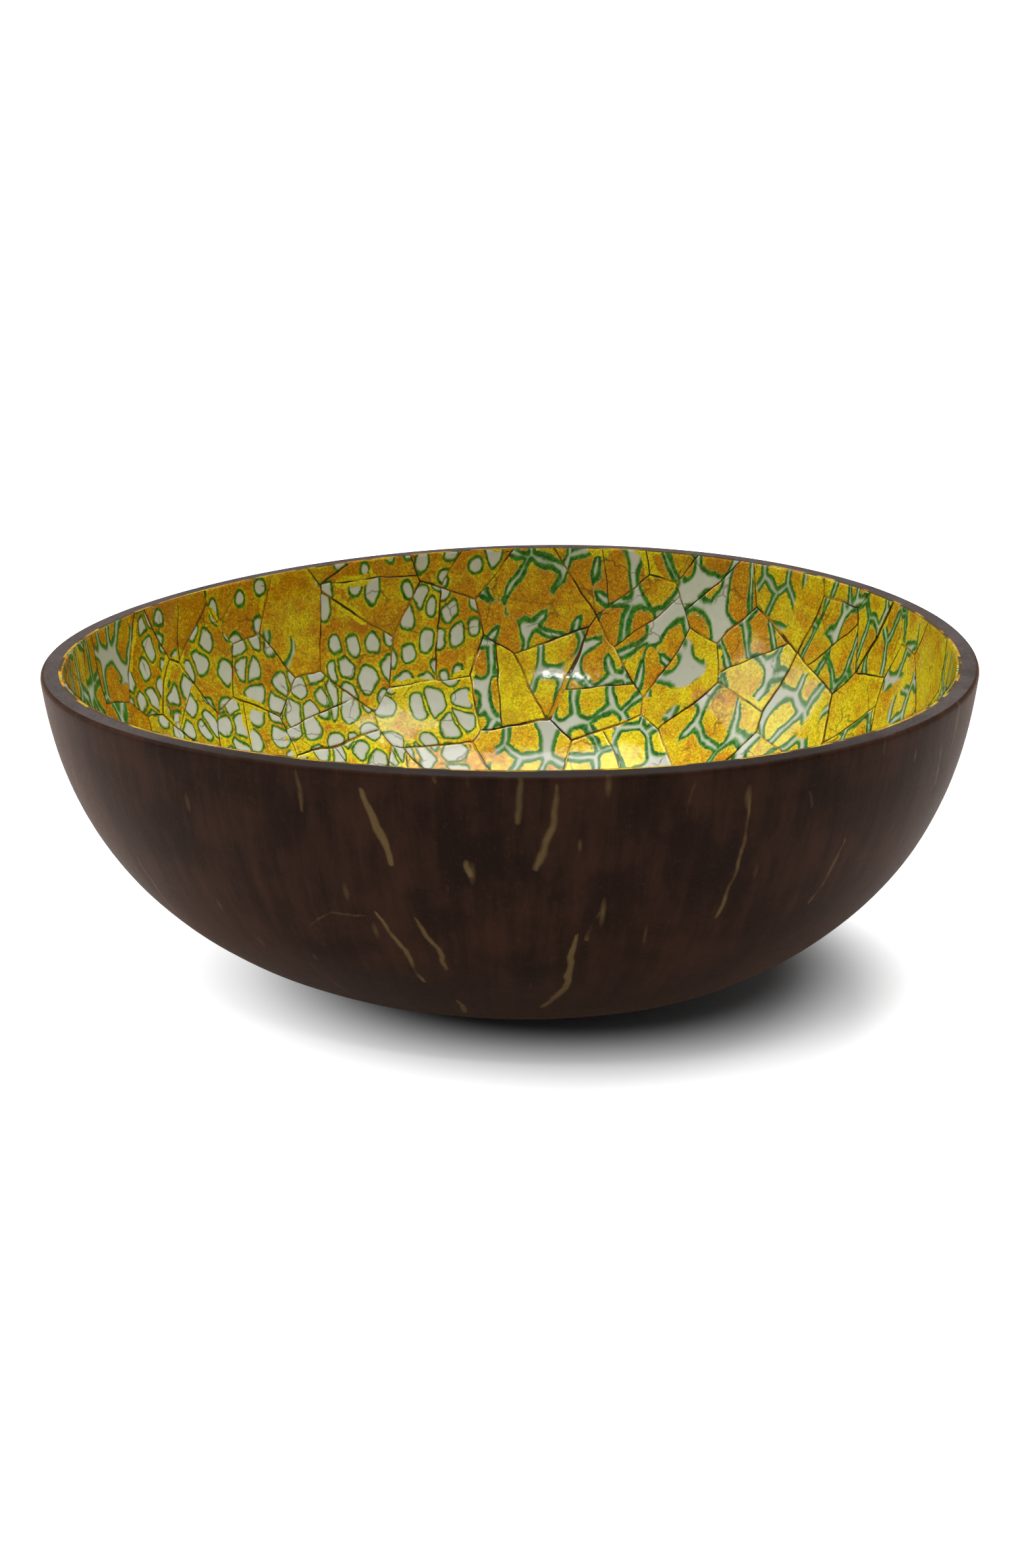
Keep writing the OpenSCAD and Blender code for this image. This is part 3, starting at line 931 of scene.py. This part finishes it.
# The fibres seen from the front: turn in degrees and height in millimetres along each, width and strength.
SEEN_FIBRES: tuple[tuple[list[tuple[float, float]], float, float], ...] = (
    ([(252.6, 47.0), (253.9, 42.4), (255.5, 36.4)], 0.62, 1.0),
    ([(245.2, 48.6), (245.2, 42.7)], 0.5, 0.55),
    ([(260.6, 49.0), (261.2, 48.0)], 0.5, 0.5),
    ([(264.2, 37.6), (264.6, 35.4)], 0.6, 0.8),
    ([(270.4, 49.0), (270.1, 43.0)], 0.7, 0.55),
    ([(257.4, 28.2), (259.5, 23.6), (260.3, 19.3)], 0.55, 0.75),
    ([(252.5, 28.2), (255.0, 22.5), (256.3, 16.5)], 0.5, 0.8),
    ([(240.6, 23.3), (246.6, 27.8), (251.2, 27.8)], 0.35, 0.45),
    ([(260.4, 12.3), (260.5, 8.0)], 0.5, 0.9),
    ([(274.5, 48.1), (273.8, 42.3), (272.2, 36.6)], 0.65, 0.75),
    ([(289.1, 47.9), (288.5, 42.9)], 0.45, 0.4),
    ([(295.8, 46.5), (296.0, 37.5), (294.8, 27.0)], 0.45, 0.7),
    ([(311.1, 35.6), (308.9, 26.1)], 0.45, 0.6),
    ([(300.5, 39.7), (298.7, 36.8)], 0.45, 0.4),
    ([(328.1, 44.3), (329.4, 38.1)], 0.55, 0.6),
    ([(279.6, 29.8), (278.7, 25.0)], 0.5, 0.55),
    ([(277.5, 26.2), (277.0, 21.7), (277.4, 17.0), (274.3, 10.8)], 0.6, 1.0),
    ([(285.9, 28.1), (286.1, 23.1)], 0.4, 0.4),
    ([(303.5, 44.0), (304.4, 41.5)], 0.5, 0.4),
    ([(314.7, 49.0), (314.6, 46.9)], 0.5, 0.35),
)


@dataclass
class CoconutShell:
    """The half shell, spun from its section and given its natural form."""

    section: NutSection
    form: NaturalForm
    finish: ShellFinish = ShellFinish()
    edge: SawnFinish = SawnFinish()
    fine_cuts: int = 5
    scattered: int = 30
    rim_fade: float = 4 * MM
    foot_fade: float = 3 * MM
    least_fade: float = 0.25

    def _fibres(self) -> list[Fibre]:
        """Lays the fibres as lines on the outside: the seen ones, and scattered ones round the rest."""
        chooser = random.Random(23)
        paths = list(SEEN_FIBRES)
        for number in range(self.scattered):
            turn = -22 + 240 * (number + chooser.uniform(0.1, 0.9)) / self.scattered
            top = chooser.uniform(14, 48)
            bottom = max(3.0, top - chooser.uniform(3, 11))
            lean = chooser.uniform(-2.4, 2.4)
            points = [(turn, top), (turn + lean * 0.3, (top + bottom) / 2), (turn + lean, bottom)]
            paths.append((points, chooser.uniform(0.35, 0.65), chooser.uniform(0.35, 1.0)))
        fibres = []
        for path, width, strength in paths:
            turn, height = np.radians([p[0] for p in path]), np.array([p[1] for p in path]) * MM
            spots = around(self.section.skin_r(height), turn, height)
            fibres.append(Fibre(spots, 0.82 * width * MM, 0.9 * strength))
        return fibres

    def _on_skin(self, points: np.ndarray, within: float) -> np.ndarray:
        """Tells which points are on the outside, or within a distance of it."""
        return np.hypot(points[:, 0], points[:, 1]) > self.section.skin_r(points[:, 2]) - within

    def _refine(self, piece: bpy.types.Object, fibres: list[Fibre]) -> None:
        """Cuts the faces near the fibres finely enough to hold them."""
        centres = np.array([face.center for face in piece.data.polygons])
        near = np.any([fibre.away(centres)[0] < fibre.width + 1.3 * MM for fibre in fibres], axis=0)
        with Bench.editing(piece, near & self._on_skin(centres, 0.5 * MM)):
            bpy.ops.mesh.subdivide(number_cuts=self.fine_cuts)

    def build(self) -> None:
        """Models and dresses the shell."""
        piece = Bench.spin("coconut_shell", self.section.shell_profile())
        fibres = self._fibres()
        self._refine(piece, fibres)
        points = Bench.points_of(piece)
        normals = Bench.read(piece.data.vertices, "normal", width=3)
        height = points[:, 2]
        on_skin = self._on_skin(points, 0.6 * MM) & (height > 0.1 * MM)
        at_rim = np.clip((self.section.bowl_h - height) / self.rim_fade, self.least_fade, 1)
        at_foot = np.clip(height / self.foot_fade, 0, 1)
        shift = np.where(on_skin, self.form.unevenness_at(points) * at_rim * at_foot, 0)
        sway = np.zeros(points.shape)
        for fineness, reach in ((260, 0.5 * MM), (900, 0.12 * MM)):
            sway += np.array([noise.noise_vector(Vector(p) * fineness) for p in points]) * reach
        mask = np.max([fibre.mask(points + sway) for fibre in fibres], axis=0)
        Bench.store(piece, "fibre", np.where(on_skin, mask, 0))
        Bench.place_points(piece, self.form.shape(points + normals * shift[:, None]))
        Bench.dress(piece, self.finish.material(), self.edge.material())
        self._paint_flats(piece, points)
        Bench.smooth(piece, 50)
        Bench.set_on_frame(piece, "coconut_shell", "shell")

    def _paint_flats(self, piece: bpy.types.Object, points: np.ndarray) -> None:
        """Gives the sawn rim and the sanded foot their own finish."""
        chosen = []
        for face in piece.data.polygons:
            spots = points[list(face.vertices)]
            inside = np.hypot(spots[:, 0], spots[:, 1]).min()
            rim = spots[:, 2].min() > self.section.bowl_h - 0.12 * MM and inside > 60 * MM
            foot = spots[:, 2].max() < 0.02 * MM
            chosen.append(int(rim or foot))
        piece.data.polygons.foreach_set("material_index", chosen)


@dataclass
class SpunLayer:
    """A layer of the lining that goes all round: the gold bed or the clear film."""

    section: NutSection
    form: NaturalForm
    name: str
    slot: str
    node: str
    low: float
    high: float

    def build(self, material: bpy.types.Material) -> None:
        """Models the layer and gives it its material."""
        piece = Bench.spin(self.name, self.section.layer_profile(self.low, self.high))
        Bench.place_points(piece, self.form.shape(Bench.points_of(piece)))
        Bench.dress(piece, material)
        Bench.smooth(piece, 50)
        Bench.set_on_frame(piece, self.slot, self.node)


@dataclass(frozen=True)
class SheetLook:
    """How a lacquer sheet shows where a shard was cut from it, in millimetres."""

    cell: float
    stretch: float
    fill: float
    least: float
    gap: float
    ring: float


@dataclass
class SheetPlan:
    """Which look the sheet has at each place of the map, and how it lies there."""

    rim_run: float
    patches: int = 26
    seed: int = 5
    seeds: list[tuple[float, float, float, float]] = field(init=False)

    def __post_init__(self) -> None:
        """Lays out the patches of sheet that neighbouring shards share."""
        chooser = random.Random(self.seed)
        self.seeds = []
        for number in range(self.patches):
            run = self.rim_run * math.sqrt((number + 0.5) / self.patches)
            turn = 2 * math.pi * GOLDEN_SHARE * number + chooser.uniform(-0.2, 0.2)
            place = (run * math.cos(turn), run * math.sin(turn))
            self.seeds.append((*place, chooser.uniform(0, 40), chooser.uniform(-0.3, 0.3)))

    def look(self, kind: ShardKind, spot: np.ndarray, chance: float, own: float) -> SheetLook:
        """Gives the look of the sheet at a place.

        Args:
            kind: Kind of shard.
            spot: Place on the map.
            chance: A number from 0 to 1 of the patch of sheet.
            own: A number from 0 to 1 of the shard's own.

        Returns:
            The look there.
        """
        run = float(np.hypot(*spot)) / self.rim_run
        turn = math.degrees(math.atan2(spot[1], spot[0])) % 360
        if kind is ShardKind.WHITE_SPOT:
            if run > 0.9 and turn < 170:
                fill = 0.0 if own < 0.12 else 0.43
                return SheetLook(5.2 + 1.0 * chance, 1.1, fill, 0.5, 0.3, 0.6)
            if run > 0.82 and turn < 180:
                return SheetLook(4.1 + 0.8 * chance, 1.15, 0.56, 0.66, 0.2, 0.5)
            return SheetLook(3.5 + 1.2 * chance, 1.15, 0.63, 0.66, 0.15, 0.43)
        if kind is ShardKind.GOLD_POOL:
            return SheetLook(5.8, 1.25, 0.71, 0.85, 0.22, 0.68)
        if own < 0.04:
            return SheetLook(6.0, 1.2, 1.6, 0.9, -3.0, 0.3)
        if 150 < turn < 240:
            return SheetLook(6.6, 1.5, 0.68, 0.9, 0.2, 0.8)
        if run > 0.62 and (turn > 290 or turn < 58):
            return SheetLook(6.0 + 1.0 * chance, 1.6, 0.73, 0.9, 0.16, 0.62)
        if run > 0.8:
            return SheetLook(7.4 + 1.2 * chance, 1.2, 0.69, 0.9, 0.24, 0.78)
        return SheetLook(5.4 + 0.8 * chance, 1.1, 0.67, 0.85, 0.28, 0.72)

    def patch_of(self, spot: np.ndarray) -> tuple[float, float, float, float]:
        """Gives the patch of sheet nearest to a place."""
        return min(self.seeds, key=lambda seed: (seed[0] - spot[0]) ** 2 + (seed[1] - spot[1]) ** 2)


@dataclass
class ShardMosaic:
    """The shards and pools: taken flat from the frame, thickened, worn at the edges and bent onto the bowl."""

    section: NutSection
    form: NaturalForm
    chart: LiningMap
    plan: SheetPlan
    sunk: float = 0.06 * MM
    worn: float = 0.09 * MM
    worn_drop: float = 0.05 * MM
    support: float = 0.3 * MM
    finest: float = 0.2 * MM
    least_area: float = 1e-6
    grid: float = 1.6 * MM
    warp: float = 0.5 * MM
    fine_warp: float = 0.16 * MM
    tilt: float = 0.7
    lift: float = 0.03 * MM
    most_lift: float = 0.12 * MM
    rims: list[np.ndarray] = field(default_factory=list)

    def nodes(self) -> list[str]:
        """Names the CAD nodes that hold shards or pools."""
        return sorted(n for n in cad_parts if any(n.startswith(kind.value) for kind in ShardKind))

    def _kind(self, name: str) -> ShardKind:
        """Gives the kind of shard that a node holds."""
        return next(kind for kind in ShardKind if name.startswith(kind.value))

    def _outlines(self, name: str, material: bpy.types.Material) -> bpy.types.Object:
        """Copies a node, keeps the tops of its shards alone and lays them flat on the map."""
        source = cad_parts[name]
        piece = source.copy()
        piece.data = source.data.copy()
        piece.parent = None
        for key in list(piece.keys()):
            del piece[key]
        piece.name = piece.data.name = "flat_" + name
        bpy.context.scene.collection.objects.link(piece)
        Bench.dress(piece, material)
        with Bench.editing(piece):
            bpy.ops.mesh.remove_doubles(threshold=0.002 * MM)
        centres = np.array([f.center for f in piece.data.polygons])
        normals = np.array([f.normal for f in piece.data.polygons])
        laid = self.chart.flatten(centres)
        run = np.hypot(laid[:, 0], laid[:, 1])
        turn = np.arctan2(centres[:, 1], centres[:, 0])
        out, up = (np.interp(run, self.chart.run, self.chart.normal[:, k]) for k in (0, 1))
        faces_in = np.sum(normals * -around(out, turn, up), axis=1) > 0.8
        top = faces_in & (laid[:, 2] > 0.2 * self.section.shard_t)
        with Bench.editing(piece, ~top):
            bpy.ops.mesh.delete(type="FACE")
            bpy.ops.mesh.select_all(action="SELECT")
            bpy.ops.mesh.dissolve_faces(use_verts=False)
        flat = self.chart.flatten(Bench.points_of(piece))
        flat[:, 2] = -self.section.shard_t / 2 - self.sunk
        Bench.place_points(piece, flat)
        with Bench.editing(piece):
            bpy.ops.mesh.remove_doubles(threshold=self.finest)
        slivers = np.array([face.area < self.least_area for face in piece.data.polygons])
        with Bench.editing(piece, slivers):
            bpy.ops.mesh.delete(type="FACE")
        return piece

    def _lay_out(self, materials: dict[ShardKind, bpy.types.Material]) -> bpy.types.Object:
        """Brings the outlines of all nodes into one flat sheet, with a material slot for each node."""
        sheets = []
        for name in self.nodes():
            marker = materials[self._kind(name)].copy()
            marker.name = MARK + name
            sheets.append(self._outlines(name, marker))
        Bench.hold(*sheets)
        bpy.ops.object.join()
        mosaic = bpy.context.object
        faces, points = mosaic.data.polygons, mosaic.data.vertices
        self.rims = [np.array([points[v].co[:2] for v in face.vertices]) for face in faces]
        number = mosaic.data.attributes.new("shard", "INT", "FACE")
        number.data.foreach_set("value", np.arange(len(faces), dtype=np.int32))
        return mosaic

    def _thicken(self, mosaic: bpy.types.Object) -> None:
        """Raises the shards, wears their upper edges and cuts them finely enough to bend."""
        rise = self.section.shard_t + self.sunk - self.worn_drop
        cuts = int((self.chart.rim_run + self.section.rim_over) / self.grid)
        with Bench.editing(mosaic):
            bpy.ops.mesh.normals_make_consistent(inside=False)
            bpy.ops.mesh.extrude_region_move(TRANSFORM_OT_translate={"value": (0, 0, rise)})
            bpy.ops.mesh.inset(thickness=self.worn, depth=0, use_individual=True)
            bpy.ops.transform.translate(value=(0, 0, self.worn_drop))
            bpy.ops.mesh.inset(thickness=self.support, depth=0, use_individual=True)
            for direction in ((1, 0, 0), (0, 1, 0)):
                for cut in range(-cuts, cuts + 1):
                    place = tuple(self.grid * (cut + 0.37) * d for d in direction)
                    bpy.ops.mesh.select_all(action="SELECT")
                    bpy.ops.mesh.bisect(plane_co=place, plane_no=direction)
            bpy.ops.mesh.select_all(action="SELECT")
            bpy.ops.mesh.normals_make_consistent(inside=False)

    def _numbers(self, mosaic: bpy.types.Object) -> tuple[np.ndarray, np.ndarray, list[str]]:
        """Gives each vertex's shard, each face corner's vertex and each shard's CAD node."""
        mesh = mosaic.data
        faces = Bench.read(mesh.attributes["shard"].data, "value", np.int32)
        totals = Bench.read(mesh.polygons, "loop_total", np.int32)
        corners = Bench.read(mesh.loops, "vertex_index", np.int32)
        owner = np.zeros(len(mesh.vertices), dtype=np.int32)
        owner[corners] = np.repeat(faces, totals)
        names = [""] * len(self.rims)
        for shard, slot in zip(faces, Bench.read(mesh.polygons, "material_index", np.int32)):
            names[shard] = mesh.materials[slot].name.removeprefix(MARK)
        return owner, corners, names

    def _margin(self, shard: int, points: np.ndarray) -> np.ndarray:
        """Gives how far points of a flat shard are from its outline."""
        rim = self.rims[shard]
        best = np.full(len(points), 1.0)
        for start, end in zip(rim, np.roll(rim, -1, axis=0)):
            way = end - start
            along = np.clip((points - start) @ way / max(way @ way, 1e-12), 0, 1)
            best = np.minimum(best, np.linalg.norm(points - start - along[:, None] * way, axis=1))
        return best

    @staticmethod
    def _each(
        flat: np.ndarray, owner: np.ndarray, seed: int
    ) -> Iterator[tuple[int, np.ndarray, np.ndarray, random.Random]]:
        """Goes through the shards: number, own vertices, middle and own source of chance."""
        for shard in range(int(owner.max()) + 1):
            mine = np.where(owner == shard)[0]
            yield shard, mine, flat[mine, :2].mean(axis=0), random.Random(seed + shard)

    def _pattern(self, mosaic: bpy.types.Object, flat: np.ndarray) -> np.ndarray:
        """Lays the sheet's pattern on each shard, stores what its finish reads, and gives each vertex's shard."""
        owner, corners, names = self._numbers(mosaic)
        labels = ("cell", "fill", "least", "gap", "ring", "chance", "tone", "margin")
        stored = {name: np.zeros(len(flat)) for name in labels}
        sheet = np.zeros((len(flat), 2))
        for shard, mine, spot, chooser in self._each(flat, owner, 1000):
            chance = chooser.random()
            patch = self.plan.patch_of(spot)
            look = self.plan.look(self._kind(names[shard]), spot, (patch[2] * 7.31) % 1.0, chooser.random())
            turn = math.atan2(patch[1], patch[0]) + patch[3] + chooser.uniform(-0.12, 0.12)
            shift = np.array([chooser.uniform(-1.2, 1.2), chooser.uniform(-1.2, 1.2)])
            off = (flat[mine, :2] - np.array(patch[:2])) / MM + shift
            across = -off[:, 0] * math.sin(turn) + off[:, 1] * math.cos(turn)
            up = off[:, 0] * math.cos(turn) + off[:, 1] * math.sin(turn)
            sheet[mine] = np.stack([across, up / look.stretch], axis=1) / look.cell + patch[2] * 3.7
            run = float(np.hypot(*spot)) / self.plan.rim_run
            lean = (0.3 * spot[0] - 0.25 * spot[1]) / self.plan.rim_run
            tone = min(1.0, max(0.0, 1.15 - run + lean + chooser.uniform(-0.45, 0.45)))
            margin = self._margin(shard, flat[mine, :2]) / MM
            drawn = (look.cell, look.fill, look.least, look.gap, look.ring, chance, tone, margin)
            for name, value in zip(labels, drawn):
                stored[name][mine] = value
        # Marks the walls of the shards, which their finishes paint dark as painted shade in the joints.
        stored["edge"] = flat[:, 2] < self.section.shard_t / 2 - 0.3 * self.worn_drop
        for name, values in stored.items():
            Bench.store(mosaic, name, values)
        layer = mosaic.data.uv_layers.new(name="sheet")
        layer.data.foreach_set("uv", sheet[corners].astype(np.float32).ravel())
        return owner

    def _bend(self, mosaic: bpy.types.Object, flat: np.ndarray, owner: np.ndarray) -> None:
        """Roughens the outlines, tips each shard a little and bends all of them onto the bowl."""
        moved = flat.copy()
        for _, mine, spot, chooser in self._each(flat, owner, 5000):
            off = flat[mine, :2] - spot
            moved[mine, :2] = spot + off * (1 + chooser.uniform(-0.002, 0.012))
            tip = math.tan(math.radians(chooser.uniform(0.1, self.tilt)))
            turn = chooser.uniform(0, 2 * math.pi)
            slope = off[:, 0] * math.cos(turn) + off[:, 1] * math.sin(turn)
            rise = np.clip(slope * tip + chooser.uniform(-1, 1) * self.lift, -self.most_lift, self.most_lift)
            upper = flat[mine, 2] > -self.section.shard_t / 4
            moved[mine, 2] += np.where(upper, rise, 0)
        run = np.hypot(flat[:, 0], flat[:, 1])
        calm = np.clip((self.chart.rim_run - run) / (3 * MM), 0, 1)
        for fineness, layer, reach in ((150, 3.1, self.warp), (560, 8.7, self.fine_warp)):
            shift = [noise.noise_vector(Vector((u * fineness, v * fineness, layer)))[:2] for u, v, _ in flat]
            moved[:, :2] += calm[:, None] * reach * np.array(shift)
        run = np.hypot(moved[:, 0], moved[:, 1])
        moved[:, :2] /= np.maximum(run / self.chart.rim_run, 1)[:, None]
        Bench.place_points(mosaic, self.form.shape(self.chart.bend(moved)))

    def build(self, materials: dict[ShardKind, bpy.types.Material]) -> None:
        """Models the mosaic, parts it into one piece for each CAD node and sets the pieces on the frame.

        Args:
            materials: Material of each kind of shard.
        """
        mosaic = self._lay_out(materials)
        self._thicken(mosaic)
        flat = Bench.points_of(mosaic)
        owner = self._pattern(mosaic, flat)
        self._bend(mosaic, flat, owner)
        with Bench.editing(mosaic):
            bpy.ops.mesh.normals_make_consistent(inside=False)
            bpy.ops.mesh.separate(type="MATERIAL")
        for piece in list(bpy.context.selected_objects):
            slot = min(face.material_index for face in piece.data.polygons)
            node = piece.data.materials[slot].name.removeprefix(MARK)
            piece.name = piece.data.name = "laid_" + node
            kind = self._kind(node)
            Bench.dress(piece, materials[kind])
            Bench.smooth(piece, 40)
            Bench.set_on_frame(piece, kind.slot, node)
        for material in list(bpy.data.materials):
            if material.name.startswith(MARK):
                bpy.data.materials.remove(material)


@dataclass(frozen=True)
class SoftBox:
    """A soft box of the studio."""

    name: str
    turn: float
    rise: float
    away: float
    size: tuple[float, float]
    watts: float

    def hang(self, target: Vector) -> None:
        """Hangs the box round a target, with its turn from +X and its rise above the table in degrees."""
        data = bpy.data.lights.new(self.name, "AREA")
        data.shape = "RECTANGLE"
        data.size, data.size_y = self.size
        data.energy = self.watts
        light = bpy.data.objects.new(self.name, data)
        bpy.context.scene.collection.objects.link(light)
        turn, rise = math.radians(self.turn), math.radians(self.rise)
        place = Vector(around(self.away * math.cos(rise), turn, self.away * math.sin(rise)))
        light.location = place + target
        light.rotation_euler = (-place).to_track_quat("-Z", "Y").to_euler()


@dataclass(frozen=True)
class Studio:
    """Pale floor, soft light and the camera."""

    camera_at: tuple[float, float, float] = (-0.0007, -0.42515, 0.15737)
    camera_pitch: float = 16.9
    lens: float = 69.1
    sensor: float = 36.0
    target: tuple[float, float, float] = (0.0, 0.0, 0.03)
    room: float = 0.11
    seen_room: float = 1.05
    paper: Colour = (0.94, 0.94, 0.94, 1.0)
    light: Colour = (1.0, 1.0, 1.0, 1.0)
    boxes: tuple[SoftBox, ...] = (
        SoftBox("window box", 174.0, 30.0, 1.0, (0.62, 0.5), 2.9),
        SoftBox("high box", -25.0, 57.0, 1.1, (0.26, 0.26), 1.1),
        SoftBox("front strip", -105.0, 47.0, 0.9, (0.24, 0.025), 0.7),
        SoftBox("overhead box", 90.0, 75.0, 1.15, (1.0, 0.9), 15.6),
    )

    def _floor(self) -> None:
        """Lays the paper floor, which glows for the camera except near the bowl, where its shadow falls."""
        bpy.ops.object.select_all(action="DESELECT")
        bpy.ops.mesh.primitive_plane_add(size=12, location=(0, 0, 0))
        floor = bpy.context.object
        floor.name = "studio_floor"
        made = Surface("white paper floor")
        wire = made.wire
        spread = wire.vector("MULTIPLY", made.place, (0.87, 1.0, 0.0))
        off = wire.vector("SUBTRACT", spread, (7 * MM, 0.0, 0.0))
        away = wire.node("VectorMath", {0: off}, operation="LENGTH").outputs["Value"]
        glow = wire.ramp(away, 25.5 * MM, 56.5 * MM)
        seen = wire.node("LightPath", {}).outputs["Is Camera Ray"]
        paper = made.give(
            {
                "Base Color": self.paper,
                "Roughness": 0.9,
                "Specular IOR Level": 0.0,
                "Emission Color": self.light,
                "Emission Strength": wire.times(glow, seen),
            }
        )
        Bench.dress(floor, paper)

    def _world(self) -> None:
        """Makes the white room, which the camera sees brighter than the bowl does."""
        world = bpy.data.worlds.new("white room")
        world.use_nodes = True
        wire = Wiring(world.node_tree)
        seen = wire.node("LightPath", {}).outputs["Is Camera Ray"]
        background = world.node_tree.nodes["Background"].inputs
        wire.feed(background["Color"], self.light)
        wire.feed(background["Strength"], wire.times_plus(seen, self.seen_room - self.room, self.room))
        bpy.context.scene.world = world

    def build(self) -> None:
        """Sets the floor, world, lights and camera."""
        self._floor()
        self._world()
        for box in self.boxes:
            box.hang(Vector(self.target))
        lens = bpy.data.cameras.new("front camera")
        lens.lens = self.lens
        lens.sensor_width = self.sensor
        lens.clip_start, lens.clip_end = 0.01, 50
        camera = bpy.data.objects.new("front camera", lens)
        bpy.context.scene.collection.objects.link(camera)
        camera.location = self.camera_at
        camera.rotation_euler = (math.radians(90 - self.camera_pitch), 0, 0)
        bpy.context.scene.camera = camera
        bpy.context.scene.view_settings.view_transform = "Standard"


def main() -> None:
    """Builds the bowl piece by piece, and then the studio."""
    logging.basicConfig(level=logging.INFO, format="%(relativeCreated)d %(name)s: %(message)s")
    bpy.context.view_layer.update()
    noise.seed_set(NOISE_SEED)
    section, form = NutSection(), NaturalForm()
    low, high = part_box("shell")
    LOG.info("shell node: %.5f m high, %.5f m across", high.z - low.z, high.x - low.x)
    chart = LiningMap(section)
    lacquer = LacquerFinish(Effects())
    CoconutShell(section, form).build()
    bed = SpunLayer(section, form, "gold_lacquer_bed", "gold_lacquer", "gold_bed", 0.0, section.bed_t)
    bed.build(lacquer.bed())
    materials = {kind: lacquer.shard(kind) for kind in (ShardKind.WHITE_SPOT, ShardKind.GOLD_CELL)}
    materials[ShardKind.GOLD_POOL] = lacquer.pool()
    ShardMosaic(section, form, chart, SheetPlan(chart.rim_run)).build(materials)
    under, over = section.shard_top + section.film_gap, section.shard_top + section.coat_t
    film = SpunLayer(section, form, "clear_lacquer_film", "clear_lacquer", "clear_lacquer", under, over)
    film.build(FilmFinish().material())
    Studio().build()


if __name__ == "__main__":
    main()
